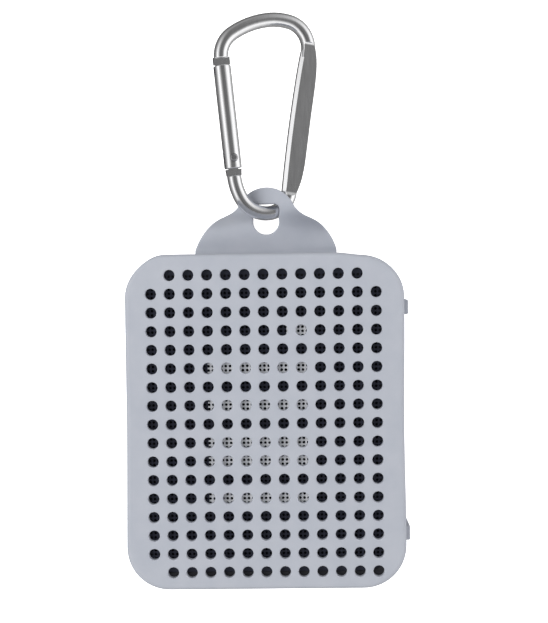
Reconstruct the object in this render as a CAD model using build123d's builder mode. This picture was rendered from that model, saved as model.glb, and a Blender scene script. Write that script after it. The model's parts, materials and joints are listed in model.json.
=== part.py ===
# Pocket wireless speaker in a soft perforated sleeve, with a hanging tab and a snap hook.
# Millimetres. The speaker lies on its back: +Z is out of the front, +Y towards the hanging tab,
# z = 0 is the back face of the sleeve and the origin is the middle of that face.
import math
import os

from build123d import *

os.makedirs("parts", exist_ok=True)

# ---------------------------------------------------------------- driving dimensions
sleeve_width = 75.0
sleeve_height = 90.0
sleeve_depth = 35.0
sleeve_radius = 11.5
sleeve_wall = 2.0
back_lip = 1.8
back_open_width = 61.0
back_open_height = 76.0
back_open_radius = 6.0
front_edge_fillet = 1.2

hole_columns = 13
hole_rows = 17
hole_pitch_x = 5.0
hole_pitch_y = 4.98
hole_radius = 1.5
hole_centre_y = -0.4

foot_width = 4.0
foot_length = 18.0
foot_height = 1.7
foot_upper_y = 30.0
foot_lower_y = -31.8

tab_z = 6.4
tab_thickness = 1.8
tab_axis_y = 46.0
tab_root_half = 20.0
lobe_top_y = 63.95
tab_hole_x = 0.45
tab_hole_y = 54.2
tab_hole_radius = 3.7
tab_slot_x = 0.2
tab_slot_half = 4.1
tab_slot_low_y = 55.0
tab_hole_top_y = 59.1
tab_twist = 29.6

hook_rod_radius = 2.05
hook_tilt = 16.0
hook_base_y = 56.3
hook_flat_thickness = 2.9
leg_land_width = 0.9
leg_land_drop = 0.75
gate_radius = 2.5
rivet_head_radius = 1.1
gate_bore = 1.35
tongue_thickness = 1.4

fit_gap = 0.1
shell_width = 70.8
shell_height = 85.8
shell_radius = 9.4
shell_wall = 1.8
shell_back_z = 1.9
shell_floor_z = 3.9
rim_z = 27.4
plate_back_z = 27.9
plate_front_z = 30.3
grille_ledge_z = 32.1
shell_front_z = 32.9
grille_width = 66.0
grille_height = 81.0
screw_x = 28.0
screw_y = 35.5

driver_y = -17.0
driver_flange = 46.0
radiator_y = 20.8
key_z = 17.5
key_pitch = 12.0
key_width = 8.0
key_tall = 5.0
port_z = 9.2


# ---------------------------------------------------------------- helpers
def at(x, y, z):
    return Location((x, y, z))


def save(part, name):
    part.label = name
    export_step(part, "parts/" + name + ".step")


# ---------------------------------------------------------------- sleeve
with BuildPart() as sleeve:
    with BuildSketch(Plane.XY):
        RectangleRounded(sleeve_width, sleeve_height, sleeve_radius)
    extrude(amount=sleeve_depth)
    front_edges = sleeve.faces().sort_by(Axis.Z)[-1].edges()
    fillet(front_edges, radius=front_edge_fillet)
    back_edges = sleeve.faces().sort_by(Axis.Z)[0].edges()
    fillet(back_edges, radius=1.0)
    with BuildSketch(Plane.XY.offset(back_lip)):
        RectangleRounded(
            sleeve_width - 2 * sleeve_wall,
            sleeve_height - 2 * sleeve_wall,
            sleeve_radius - sleeve_wall,
        )
    extrude(amount=sleeve_depth - sleeve_wall - back_lip, mode=Mode.SUBTRACT)
    with BuildSketch(Plane.XY):
        RectangleRounded(back_open_width, back_open_height, back_open_radius)
    extrude(amount=back_lip, mode=Mode.SUBTRACT)
    # front holes: the two upper corners and the lower left corner have none
    with BuildSketch(Plane.XY.offset(sleeve_depth)):
        for row in range(hole_rows):
            for column in range(hole_columns):
                at_side = column in (0, hole_columns - 1)
                if row == 0 and at_side:
                    continue
                if row == hole_rows - 1 and column == 0:
                    continue
                hole_x = (column - (hole_columns - 1) / 2) * hole_pitch_x
                hole_y = hole_centre_y + ((hole_rows - 1) / 2 - row) * hole_pitch_y
                with Locations((hole_x, hole_y)):
                    Circle(hole_radius)
    extrude(amount=-sleeve_wall, mode=Mode.SUBTRACT)
    # two feet on the right side
    for foot_y in (foot_upper_y, foot_lower_y):
        with BuildSketch(Plane.YZ.offset(sleeve_width / 2 - 0.3)):
            with Locations((foot_y, sleeve_depth / 2)):
                SlotOverall(foot_length, foot_width, rotation=90)
        extrude(amount=foot_height + 0.3)
    # window for the keys, window for the port door
    with BuildSketch(Plane.YZ.offset(-sleeve_width / 2 - 1)):
        with Locations((0, key_z)):
            SlotOverall(68, 8.4)
    extrude(amount=sleeve_wall + 1.5, mode=Mode.SUBTRACT)
    with BuildSketch(Plane.XZ.offset(sleeve_height / 2 + 1)):
        with Locations((0, port_z - 0.1)):
            RectangleRounded(45.2, 11.6, 1.6)
    extrude(amount=-(sleeve_wall + 1.5), mode=Mode.SUBTRACT)
save(sleeve.part, "sleeve")

# ---------------------------------------------------------------- hanging tab
# A flat root that turns through the twist on the way up to the ring round the hook.
with BuildPart() as hanging_tab:
    for slab_y, turn in (
        (tab_axis_y, 0.0),
        (49.0, 0.0),
        (51.4, 0.05),
        (53.0, 0.2),
        (54.6, 0.5),
        (56.2, 0.84),
        (57.4, 1.0),
        (66.0, 1.0),
    ):
        lean = math.radians(tab_twist * turn)
        slab_plane = Plane(
            origin=(0.3, slab_y, tab_z),
            x_dir=(math.cos(lean), 0, math.sin(lean)),
            z_dir=(0, 1, 0),
        )
        with BuildSketch(slab_plane):
            Rectangle(52, tab_thickness)
    loft()
    with BuildSketch(Plane.XY) as tab_outline:
        with BuildLine():
            left_shoulder = Spline(
                (-tab_root_half, tab_axis_y),
                (-19.2, 48.0),
                (-17.45, 51.0),
                (-16.2, 52.6),
                (-12.3, 55.6),
                tangents=((0.3, 1), (1, 0.45)),
            )
            left_neck = Spline(
                left_shoulder @ 1,
                (-9.05, 57.3),
                (-7.4, 59.2),
                tangents=((1, 0.45), (0.5, 1)),
            )
            lobe = ThreePointArc((-7.4, 59.2), (0.35, lobe_top_y), (8.1, 59.3))
            right_neck = Spline(
                (8.1, 59.3),
                (9.45, 57.3),
                (12.15, 55.5),
                tangents=((0.4, -1), (1, -0.4)),
            )
            right_shoulder = Spline(
                right_neck @ 1,
                (15.95, 53.4),
                (18.95, 49.8),
                (tab_root_half + 0.5, tab_axis_y),
                tangents=((1, -0.4), (0.25, -1)),
            )
            Line(right_shoulder @ 1, left_shoulder @ 0)
        make_face()
    extrude(amount=30, both=True, mode=Mode.INTERSECT)
    # rounded root that the tab turns on
    with BuildSketch(Plane.YZ.offset(0.2 - tab_root_half)):
        with Locations((tab_axis_y, tab_z)):
            Circle(tab_thickness / 2)
    extrude(amount=2 * tab_root_half + 0.1)
    # hole for the hook, spread at the top by its pull
    with BuildSketch(Plane.XY.offset(-10)):
        with Locations((tab_hole_x, tab_hole_y)):
            Circle(tab_hole_radius)
        with Locations((tab_slot_x, (tab_slot_low_y + tab_hole_top_y) / 2)):
            RectangleRounded(2 * tab_slot_half, tab_hole_top_y - tab_slot_low_y, 1.4)
    extrude(amount=40, mode=Mode.SUBTRACT)
save(hanging_tab.part, "hanging_tab")

# ---------------------------------------------------------------- snap hook
tilt = math.radians(hook_tilt)
hook_plane = Plane(
    origin=(0, hook_base_y, tab_z),
    x_dir=(math.cos(tilt), 0, -math.sin(tilt)),
    z_dir=(math.sin(tilt), 0, math.cos(tilt)),
)
gate_low = Vector(-9.0, 13.0)
gate_high = Vector(-11.9, 42.0)
gate_length = (gate_high - gate_low).length
gate_lean = math.degrees(math.atan2(gate_low.X - gate_high.X, gate_high.Y - gate_low.Y))
gate_dir = (gate_high - gate_low) / gate_length
pivot_point = gate_low + gate_dir * 3.0
nose_point = gate_high + gate_dir * 2.0
heel_point = gate_low - gate_dir * 2.0
leg_low = Vector(7.55, 6.6)
leg_high = Vector(13.5, 46.6)
leg_dir = (leg_high - leg_low) / (leg_high - leg_low).length
leg_lean = math.degrees(math.atan2(leg_dir.X, leg_dir.Y))


def on_hook(u, v, w=0.0):
    return hook_plane.from_local_coords(Vector(u, v, w))


def hook_vector(u, v):
    return hook_plane.from_local_coords(Vector(u, v, 0)) - hook_plane.origin


def bend(point, heading, radius, turn):
    """Far end and heading of an arc of the rod; a positive turn is anticlockwise."""
    chord = 2 * radius * math.sin(math.radians(abs(turn)) / 2)
    middle = math.radians(heading + turn / 2)
    step = Vector(chord * math.cos(middle), chord * math.sin(middle))
    return point + step, heading + turn


# radius and turn of each arc, from the gate round to the leg
gate_heading = 90 + gate_lean
leg_heading = 90 - leg_lean
upper_turn = 180 + gate_heading - leg_heading
lower_turn = 180 - gate_heading + leg_heading
upper_bow = ((7.7, -60.8), (24.5, -26.8), (16.3, -22.3), (7.4, 109.9 - upper_turn))
lower_bow = ((16.8, 23.5), (8.3, 66.0), (7.0, lower_turn - 89.5))
rod_round = 2 * math.pi * hook_rod_radius
# flat leg, with a sloping land along its inner edges
with BuildPart() as pressed_leg:
    with BuildSketch(Plane(on_hook(0, 0), x_dir=hook_plane.x_dir, z_dir=hook_plane.z_dir)):
        with BuildLine():
            inner_edge = Spline(
                (5.2, 6.0),
                (6.1, 13.7),
                (8.4, 30.0),
                (9.95, 39.1),
                (11.35, 46.0),
                (11.9, 48.1),
            )
            top_edge = ThreePointArc(inner_edge @ 1, (13.6, 48.5), (15.2, 48.0))
            outer_edge = Spline(
                (15.2, 48.0),
                (15.7, 44.6),
                (15.5, 39.4),
                (14.1, 29.8),
                (12.35, 17.7),
                (11.15, 11.1),
                (9.2, 5.9),
            )
            ThreePointArc(outer_edge @ 1, (7.15, 5.4), inner_edge @ 0)
        make_face()
    extrude(amount=hook_flat_thickness / 2, both=True)
    for side in (1, -1):
        land_middle = on_hook(8.4, 30.0, side * hook_flat_thickness / 2)
        land_edge = pressed_leg.edges().sort_by_distance(land_middle)[:1]
        leg_face = pressed_leg.faces().sort_by(Axis(hook_plane.origin, hook_plane.z_dir * side))[-1]
        chamfer(land_edge, length=leg_land_width, length2=leg_land_drop, reference=leg_face)

with BuildPart() as carabiner_spine:
    # two bows of round rod, each from the gate to a little way into the flat leg
    for rod_start, rod_heading, bow in (
        (nose_point, gate_heading, upper_bow),
        (heel_point, gate_heading - 180, lower_bow),
    ):
        place, heading = rod_start, rod_heading
        with BuildLine() as bow_path:
            for radius, turn in bow:
                way = hook_vector(math.cos(math.radians(heading)), math.sin(math.radians(heading)))
                here = on_hook(place.X, place.Y)
                place, heading = bend(place, heading, radius, turn)
                TangentArc(here, on_hook(place.X, place.Y), tangent=way)
            inside = place + Vector(2 * math.cos(math.radians(heading)), 2 * math.sin(math.radians(heading)))
            Line(on_hook(place.X, place.Y), on_hook(inside.X, inside.Y))
        with BuildSketch(Plane(origin=bow_path.line @ 0, z_dir=bow_path.line % 0)):
            Circle(hook_rod_radius)
        sweep(path=bow_path.wires()[0])
        rounds = carabiner_spine.edges().filter_by(lambda edge: abs(edge.length - rod_round) < 0.01)
        fillet(rounds.sort_by_distance(bow_path.line @ 0)[:1], radius=0.4)
    # the bows drop to the pressed leg through hollow ramps, above and below
    leg_run = (leg_high - leg_low).length + 1.2
    ramp_plane = Plane(
        origin=on_hook(leg_low.X, leg_low.Y),
        x_dir=hook_vector(leg_dir.X, leg_dir.Y),
        z_dir=hook_vector(leg_dir.Y, -leg_dir.X),
    )
    for side in (1, -1):
        low_face, rod_face = side * hook_flat_thickness / 2, side * hook_rod_radius
        for flat_end, away in ((0.0, -1), (leg_run, 1)):
            with BuildSketch(ramp_plane):
                with BuildLine():
                    ThreePointArc(
                        (flat_end, low_face),
                        (flat_end + away * 0.7, low_face + side * 0.114),
                        (flat_end + away * 1.33, rod_face),
                    )
                    Polyline(
                        (flat_end + away * 1.33, rod_face),
                        (flat_end + away * 1.5, side * 4.0),
                        (flat_end - away * 6.0, side * 4.0),
                        (flat_end - away * 6.0, low_face),
                        (flat_end, low_face),
                    )
                make_face()
            extrude(amount=3.4, both=True, mode=Mode.SUBTRACT)
    add(pressed_leg.part)
    # tongues that reach into the gate's slots at the nose and at the heel
    tongue_plane = Plane(
        origin=on_hook(0, 0, -tongue_thickness / 2),
        x_dir=hook_plane.x_dir,
        z_dir=hook_plane.z_dir,
    )
    with BuildSketch(tongue_plane):
        nose_mid = gate_high + gate_dir * 0.6
        with Locations((nose_mid.X, nose_mid.Y)):
            Rectangle(2.9, 4.4, rotation=gate_lean)
        nose_mid = gate_high + gate_dir * 1.25
        with Locations((nose_mid.X, nose_mid.Y)):
            Rectangle(4.7, 2.1, rotation=gate_lean)
        heel_mid = gate_low + gate_dir * 0.2
        with Locations((heel_mid.X, heel_mid.Y)):
            Rectangle(2.6, 5.6, rotation=gate_lean)
        heel_mid = gate_low - gate_dir * 1.2
        with Locations((heel_mid.X, heel_mid.Y)):
            Trapezoid(4.5, 1.9, 95, rotation=gate_lean)
        with Locations((pivot_point.X, pivot_point.Y)):
            Circle(1.3)
    extrude(amount=tongue_thickness)
    with BuildSketch(tongue_plane):
        with Locations((pivot_point.X, pivot_point.Y)):
            Circle(0.55)
    extrude(amount=tongue_thickness, mode=Mode.SUBTRACT)
save(carabiner_spine.part, "carabiner_spine")

gate_axis_plane = Plane(
    origin=on_hook(gate_low.X, gate_low.Y),
    x_dir=hook_plane.z_dir,
    z_dir=hook_vector(gate_dir.X, gate_dir.Y),
)
with BuildPart() as carabiner_gate:
    with BuildSketch(gate_axis_plane):
        Circle(gate_radius)
        Circle(gate_bore, mode=Mode.SUBTRACT)
    extrude(amount=gate_length)
    fillet(
        carabiner_gate.edges().filter_by(lambda edge: abs(edge.length - 2 * math.pi * gate_radius) < 0.01),
        radius=0.35,
    )
    # slots through both ends of the tube, in the plane of the hook
    with BuildSketch(gate_axis_plane):
        Rectangle(tongue_thickness + 0.3, 6)
    extrude(amount=5.4, mode=Mode.SUBTRACT)
    with BuildSketch(gate_axis_plane.offset(gate_length - 2.6)):
        Rectangle(tongue_thickness + 0.3, 6)
    extrude(amount=2.7, mode=Mode.SUBTRACT)
    # rivet hole across
    with BuildSketch(Plane(origin=on_hook(pivot_point.X, pivot_point.Y, -4), z_dir=hook_plane.z_dir)):
        Circle(0.55)
    extrude(amount=8, mode=Mode.SUBTRACT)
    # seats for the rivet's heads
    for side in (1, -1):
        seat_place = on_hook(pivot_point.X, pivot_point.Y, side * 2.1)
        with BuildSketch(Plane(origin=seat_place, z_dir=hook_plane.z_dir * side)):
            Circle(rivet_head_radius + 0.06)
        extrude(amount=1.0, mode=Mode.SUBTRACT)
save(carabiner_gate.part, "carabiner_gate")

with BuildPart() as gate_rivet:
    with BuildSketch(Plane(origin=on_hook(pivot_point.X, pivot_point.Y, -2.3), z_dir=hook_plane.z_dir)):
        Circle(0.5)
    extrude(amount=4.6)
    # peened heads
    for side in (1, -1):
        head_place = on_hook(pivot_point.X, pivot_point.Y, side * 2.17)
        with BuildSketch(Plane(origin=head_place, z_dir=hook_plane.z_dir * side)):
            Circle(rivet_head_radius)
        extrude(amount=0.55)
    rims = gate_rivet.edges().filter_by(GeomType.CIRCLE).sort_by(SortBy.RADIUS)[-4:]
    fillet(rims.sort_by_distance(on_hook(pivot_point.X, pivot_point.Y))[2:], radius=0.45)
save(gate_rivet.part, "gate_rivet")

with BuildPart() as gate_plunger:
    with BuildSketch(gate_axis_plane.offset(4.5)):
        Circle(1.2)
    extrude(amount=3.0)
save(gate_plunger.part, "gate_plunger")

with BuildPart() as gate_spring:
    with BuildLine() as coil_line:
        Helix(pitch=1.3, height=14.0, radius=0.85)
    coil_start = coil_line.wires()[0] @ 0
    coil_way = coil_line.wires()[0] % 0
    with BuildSketch(Plane(origin=coil_start, z_dir=coil_way)):
        Circle(0.2)
    sweep(path=coil_line.wires()[0], is_frenet=True)
spring_solid = gate_axis_plane.offset(7.8).location * gate_spring.part
save(spring_solid, "gate_spring")

# ---------------------------------------------------------------- rear housing
door_half = 20.8
door_low_z = 4.4
door_axis_z = 5.2
door_axis_y = -42.2
shell_bottom_y = -shell_height / 2
with BuildPart() as rear_housing:
    with BuildSketch(Plane.XY.offset(shell_back_z)):
        RectangleRounded(shell_width, shell_height, shell_radius)
    extrude(amount=rim_z - shell_back_z)
    fillet(rear_housing.faces().sort_by(Axis.Z)[0].edges(), radius=1.2)
    with BuildSketch(Plane.XY.offset(shell_floor_z)):
        RectangleRounded(
            shell_width - 2 * shell_wall,
            shell_height - 2 * shell_wall,
            shell_radius - shell_wall,
        )
    extrude(amount=rim_z - shell_floor_z, mode=Mode.SUBTRACT)
    # corner posts
    with BuildSketch(Plane.XY.offset(shell_floor_z)):
        with GridLocations(2 * screw_x, 2 * screw_y, 2, 2):
            Circle(3.4)
    extrude(amount=rim_z - shell_floor_z)
    # thick wall behind the port door
    with BuildSketch(Plane.XY.offset(shell_floor_z)):
        with Locations((0, -40.6)):
            Rectangle(48.0, 2.4)
    extrude(amount=10.6)
    # board posts
    with BuildSketch(Plane.XY.offset(shell_floor_z)):
        with Locations((-25.5, -28.5), (25.5, -28.5), (-25.5, -12.5), (25.5, -12.5)):
            Circle(2.3)
    extrude(amount=1.1)
    # rails that hold the key board
    with BuildSketch(Plane.XY.offset(shell_floor_z)):
        with Locations((-31.5, -32.2), (-31.5, 32.2)):
            Rectangle(4.4, 2.4)
    extrude(amount=18.6)
    with BuildSketch(Plane.XY.offset(12.45)):
        with Locations((-30.9, 0)):
            Rectangle(1.1, 64.2)
    extrude(amount=12, mode=Mode.SUBTRACT)
    # battery fences
    with BuildSketch(Plane.XY.offset(shell_floor_z)):
        with Locations((0, 7.6)):
            Rectangle(40, 1.2)
        with Locations((-25.0, 20), (25.0, 20)):
            Rectangle(1.2, 20)
    extrude(amount=5.0)
    # screw ways through the corner posts
    with BuildSketch(Plane.XY.offset(shell_back_z)):
        with GridLocations(2 * screw_x, 2 * screw_y, 2, 2):
            Circle(2.5)
    extrude(amount=16.1, mode=Mode.SUBTRACT)
    with BuildSketch(Plane.XY.offset(17)):
        with GridLocations(2 * screw_x, 2 * screw_y, 2, 2):
            Circle(1.35)
    extrude(amount=12, mode=Mode.SUBTRACT)
    with BuildSketch(Plane.XY.offset(3.9)):
        with Locations((-25.5, -28.5), (25.5, -28.5), (-25.5, -12.5), (25.5, -12.5)):
            Circle(0.8)
    extrude(amount=1.2, mode=Mode.SUBTRACT)
    # key openings, light pipe and microphone holes in the side wall
    with BuildSketch(Plane.YZ.offset(-36.5)):
        with Locations(*[(step * key_pitch, key_z) for step in (-2, -1, 0, 1, 2)]):
            RectangleRounded(key_width + 0.3, key_tall + 0.3, 1.15)
        with Locations((29.85, key_z)):
            Circle(1.05)
        with Locations((-29.85, key_z)):
            Circle(0.6)
    extrude(amount=3.6, mode=Mode.SUBTRACT)
    # recess for the port door with its hinge trough, and the two port openings
    with BuildSketch(Plane.XZ.offset(-shell_bottom_y + 0.5)):
        with Locations((0, port_z)):
            Rectangle(2 * door_half + 0.6, 9.6)
    extrude(amount=-2.0, mode=Mode.SUBTRACT)
    with BuildSketch(Plane.XZ.offset(41.6)):
        with Locations((-13.0, 7.6)):
            RectangleRounded(9.3, 3.5, 1.3)
        with Locations((15.0, 8.7)):
            Circle(2.9)
    extrude(amount=-3.0, mode=Mode.SUBTRACT)
    # holes for the door pin
    with BuildSketch(Plane.YZ.offset(-22.6)):
        with Locations((door_axis_y, door_axis_z)):
            Circle(0.4)
    extrude(amount=45.2, mode=Mode.SUBTRACT)
save(rear_housing.part, "rear_housing")

# ---------------------------------------------------------------- seal, baffle, grille
with BuildPart() as housing_seal:
    with BuildSketch(Plane.XY.offset(rim_z)):
        RectangleRounded(shell_width - 0.4, shell_height - 0.4, shell_radius - 0.2)
        RectangleRounded(shell_width - 3.6, shell_height - 3.6, 6.6, mode=Mode.SUBTRACT)
    extrude(amount=plate_back_z - rim_z)
save(housing_seal.part, "housing_seal")

flange_holes = [(sx * 19.5, driver_y + sy * 19.5) for sx in (-1, 1) for sy in (-1, 1)]
radiator_holes = [(sx * 27.3, radiator_y + sy * 8.6) for sx in (-1, 1) for sy in (-1, 1)]
with BuildPart() as front_baffle:
    with BuildSketch(Plane.XY.offset(plate_back_z)):
        RectangleRounded(shell_width, shell_height, shell_radius)
    extrude(amount=shell_front_z - plate_back_z)
    with BuildSketch(Plane.XY.offset(grille_ledge_z)):
        RectangleRounded(grille_width + 0.2, grille_height + 0.2, 6.1)
    extrude(amount=2, mode=Mode.SUBTRACT)
    with BuildSketch(Plane.XY.offset(plate_front_z)):
        RectangleRounded(grille_width - 4, grille_height - 4, 4.0)
    extrude(amount=3, mode=Mode.SUBTRACT)
    with BuildSketch(Plane.XY.offset(plate_front_z)):
        with GridLocations(2 * screw_x, 2 * screw_y, 2, 2):
            Circle(2.6)
    extrude(amount=1.3)
    with BuildSketch(Plane.XY.offset(plate_back_z)):
        with Locations((0, driver_y)):
            Circle(20.0)
        with Locations((0, radiator_y)):
            SlotOverall(48, 15)
        with Locations(*flange_holes, *radiator_holes):
            Circle(0.8)
    extrude(amount=3, mode=Mode.SUBTRACT)
    with BuildSketch(Plane.XY.offset(plate_back_z)):
        with GridLocations(2 * screw_x, 2 * screw_y, 2, 2):
            Circle(1.1)
    extrude(amount=3.2, mode=Mode.SUBTRACT)
save(front_baffle.part, "front_baffle")

with BuildPart() as grille_cloth:
    with BuildSketch(Plane.XY.offset(31.75)):
        RectangleRounded(grille_width - 4.2, grille_height - 4.2, 3.9)
    extrude(amount=0.3)
save(grille_cloth.part, "grille_cloth")

with BuildPart() as front_grille:
    with BuildSketch(Plane.XY.offset(grille_ledge_z)):
        RectangleRounded(grille_width, grille_height, 6.0)
    extrude(amount=0.7)
save(front_grille.part, "front_grille")

with BuildPart() as housing_screws:
    with BuildSketch(Plane.XY.offset(16.2)):
        with GridLocations(2 * screw_x, 2 * screw_y, 2, 2):
            Circle(2.2)
    extrude(amount=1.8)
    with BuildSketch(Plane.XY.offset(16.1)):
        with GridLocations(2 * screw_x, 2 * screw_y, 2, 2):
            RegularPolygon(1.1, 6)
    extrude(amount=1.0, mode=Mode.SUBTRACT)
    with BuildSketch(Plane.XY.offset(18.0)):
        with GridLocations(2 * screw_x, 2 * screw_y, 2, 2):
            Circle(1.1)
    extrude(amount=13.0)
save(housing_screws.part, "housing_screws")

# ---------------------------------------------------------------- driver
with BuildPart() as basket_body:
    with BuildSketch(Plane.XZ.offset(-driver_y)):
        with BuildLine():
            Polyline(
                (7.6, 16.5),
                (17.2, 16.5),
                (20.4, 26.0),
                (19.0, 26.0),
                (16.2, 17.7),
                (7.6, 17.7),
                close=True,
            )
        make_face()
    revolve(axis=Axis((0, driver_y, 0), (0, 0, 1)))
    # windows in the side of the basket
    with BuildSketch(Plane.XY.offset(17.9)):
        with Locations((0, driver_y)):
            Rectangle(46, 10, rotation=45)
            Rectangle(46, 10, rotation=-45)
    extrude(amount=7.0, mode=Mode.SUBTRACT)
    with BuildSketch(Plane.XY.offset(26.0)):
        with Locations((0, driver_y)):
            RectangleRounded(driver_flange, driver_flange, 4)
            Circle(19.0, mode=Mode.SUBTRACT)
        with Locations(*flange_holes):
            Circle(1.1, mode=Mode.SUBTRACT)
    extrude(amount=1.4)
save(basket_body.part, "driver_basket")

with BuildPart() as driver_top_plate:
    with BuildSketch(Plane.XY.offset(14.5)):
        with Locations((0, driver_y)):
            Circle(13.5)
            Circle(7.3, mode=Mode.SUBTRACT)
    extrude(amount=2.0)
save(driver_top_plate.part, "driver_top_plate")

with BuildPart() as driver_magnet:
    with BuildSketch(Plane.XY.offset(10.0)):
        with Locations((0, driver_y)):
            Circle(15.0)
            Circle(8.5, mode=Mode.SUBTRACT)
    extrude(amount=4.5)
save(driver_magnet.part, "driver_magnet")

with BuildPart() as driver_yoke:
    with BuildSketch(Plane.XY.offset(8.5)):
        with Locations((0, driver_y)):
            Circle(14.0)
    extrude(amount=1.5)
    with BuildSketch(Plane.XY.offset(10.0)):
        with Locations((0, driver_y)):
            Circle(6.3)
    extrude(amount=6.5)
    with BuildSketch(Plane.XY.offset(8.5)):
        with Locations((0, driver_y)):
            Circle(2.0)
    extrude(amount=8.0, mode=Mode.SUBTRACT)
save(driver_yoke.part, "driver_yoke")

with BuildPart() as driver_voice_coil:
    with BuildSketch(Plane.XY.offset(12.5)):
        with Locations((0, driver_y)):
            Circle(7.0)
            Circle(6.5, mode=Mode.SUBTRACT)
    extrude(amount=9.0)
save(driver_voice_coil.part, "driver_voice_coil")


def ring_of(points):
    # a ring with this half section, given as (radius, height), about the driver's axis
    with BuildPart(mode=Mode.PRIVATE) as ring:
        with BuildSketch(Plane.XZ):
            with BuildLine():
                Polyline(*points, close=True)
            make_face()
        revolve(axis=Axis.Z)
    return at(0, driver_y, 0) * ring.part


cone_points = [(7.05, 20.6), (7.05, 21.3), (16.4, 24.6), (16.4, 24.1), (7.6, 20.6)]
save(ring_of(cone_points), "driver_cone")

cap_centre_z = 14.76
with BuildPart() as dust_cap_shape:
    Sphere(9.44)
    Sphere(9.04, mode=Mode.SUBTRACT)
    with Locations((0, 0, 6.95)):
        Cylinder(6.4, 5, align=(Align.CENTER, Align.CENTER, Align.MIN), mode=Mode.INTERSECT)
save(at(0, driver_y, cap_centre_z) * dust_cap_shape.part, "driver_dust_cap")


# the roll runs from the cone's edge up to the front of the flange
surround_points = [
    (15.2, 24.7),
    (16.3, 25.1),
    (16.8, 27.2),
    (17.6, 28.2),
    (18.4, 28.2),
    (18.95, 27.8),
    (19.9, 27.8),
    (19.9, 27.42),
    (18.7, 27.42),
    (18.1, 27.8),
    (17.8, 27.8),
    (17.2, 27.0),
    (16.7, 24.75),
    (16.45, 24.66),
]
save(ring_of(surround_points), "driver_surround")

spider_points = [
    (7.05, 20.3),
    (8.4, 20.3),
    (9.6, 19.0),
    (10.8, 19.8),
    (12.0, 18.6),
    (13.2, 19.2),
    (14.4, 18.0),
    (15.9, 18.0),
    (15.9, 17.72),
    (14.2, 17.72),
    (13.1, 18.85),
    (11.9, 18.25),
    (10.7, 19.4),
    (9.5, 18.6),
    (8.2, 19.95),
    (7.05, 19.95),
]
save(ring_of(spider_points), "driver_spider")

with BuildPart() as driver_gasket:
    with BuildSketch(Plane.XY.offset(rim_z)):
        with Locations((0, driver_y)):
            RectangleRounded(driver_flange, driver_flange, 4)
            Circle(20.3, mode=Mode.SUBTRACT)
        with Locations(*flange_holes):
            Circle(1.1, mode=Mode.SUBTRACT)
    extrude(amount=0.5)
save(driver_gasket.part, "driver_gasket")

with BuildPart() as driver_terminals:
    with BuildSketch(Plane.XY.offset(24.8)):
        with Locations((0, driver_y + 21.7)):
            Rectangle(9, 2.4)
    extrude(amount=1.2)
    with BuildSketch(Plane.XY.offset(22.3)):
        with Locations((-2.5, driver_y + 21.9), (2.5, driver_y + 21.9)):
            Rectangle(1.6, 0.5)
    extrude(amount=2.5)
save(driver_terminals.part, "driver_terminals")


def flange_screws(places):
    with BuildPart(mode=Mode.PRIVATE) as screws:
        with BuildSketch(Plane.XY.offset(24.7)):
            with Locations(*places):
                Circle(1.7)
        extrude(amount=1.3)
        with BuildSketch(Plane.XY.offset(24.6)):
            with Locations(*places):
                Rectangle(2.0, 0.5)
                Rectangle(0.5, 2.0)
        extrude(amount=0.7, mode=Mode.SUBTRACT)
        with BuildSketch(Plane.XY.offset(26.0)):
            with Locations(*places):
                Circle(0.8)
        extrude(amount=4.2)
    return screws.part


save(flange_screws(flange_holes), "driver_screws")

# ---------------------------------------------------------------- passive radiator
with BuildPart() as radiator_frame:
    with BuildSketch(Plane.XY.offset(26.0)):
        with Locations((0, radiator_y)):
            RectangleRounded(60, 22, 3)
            SlotOverall(46.4, 13.4, mode=Mode.SUBTRACT)
        with Locations(*radiator_holes):
            Circle(1.1, mode=Mode.SUBTRACT)
    extrude(amount=1.4)
save(radiator_frame.part, "radiator_frame")

with BuildPart() as radiator_gasket:
    with BuildSketch(Plane.XY.offset(rim_z)):
        with Locations((0, radiator_y)):
            RectangleRounded(60, 22, 3)
            SlotOverall(48.4, 15.4, mode=Mode.SUBTRACT)
        with Locations(*radiator_holes):
            Circle(1.1, mode=Mode.SUBTRACT)
    extrude(amount=0.5)
save(radiator_gasket.part, "radiator_gasket")

with BuildPart() as radiator_surround:
    with BuildSketch(Plane.XY.offset(27.42)):
        with Locations((0, radiator_y)):
            SlotOverall(48.0, 15.0)
            SlotOverall(44.2, 11.2, mode=Mode.SUBTRACT)
    extrude(amount=0.4)
    with BuildSketch(Plane.XY.offset(24.7)):
        with Locations((0, radiator_y)):
            SlotOverall(44.8, 11.8)
            SlotOverall(44.0, 11.0, mode=Mode.SUBTRACT)
    extrude(amount=3.12)
    with BuildSketch(Plane.XY.offset(24.7)):
        with Locations((0, radiator_y)):
            SlotOverall(44.8, 11.8)
            SlotOverall(37.0, 5.0, mode=Mode.SUBTRACT)
    extrude(amount=0.4)
save(radiator_surround.part, "radiator_surround")

with BuildPart() as radiator_plate:
    with BuildSketch(Plane.XY.offset(23.7)):
        with Locations((0, radiator_y)):
            SlotOverall(40, 8)
    extrude(amount=1.0)
save(radiator_plate.part, "radiator_plate")

with BuildPart() as radiator_weight:
    with BuildSketch(Plane.XY.offset(21.7)):
        with Locations((0, radiator_y)):
            SlotOverall(28, 4.6)
    extrude(amount=2.0)
save(radiator_weight.part, "radiator_weight")
save(flange_screws(radiator_holes), "radiator_screws")

# ---------------------------------------------------------------- boards
board_holes = ((-25.5, -28.5), (25.5, -28.5), (-25.5, -12.5), (25.5, -12.5))
with BuildPart() as main_board:
    with BuildSketch(Plane.XY.offset(5.0)):
        with Locations((0, -24.2)):
            RectangleRounded(57, 30, 1.5)
        with GridLocations(2 * screw_x, 2 * screw_y, 2, 2):
            Circle(3.9, mode=Mode.SUBTRACT)
        with Locations(*board_holes):
            Circle(1.1, mode=Mode.SUBTRACT)
    extrude(amount=1.0)
save(main_board.part, "main_board")

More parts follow.
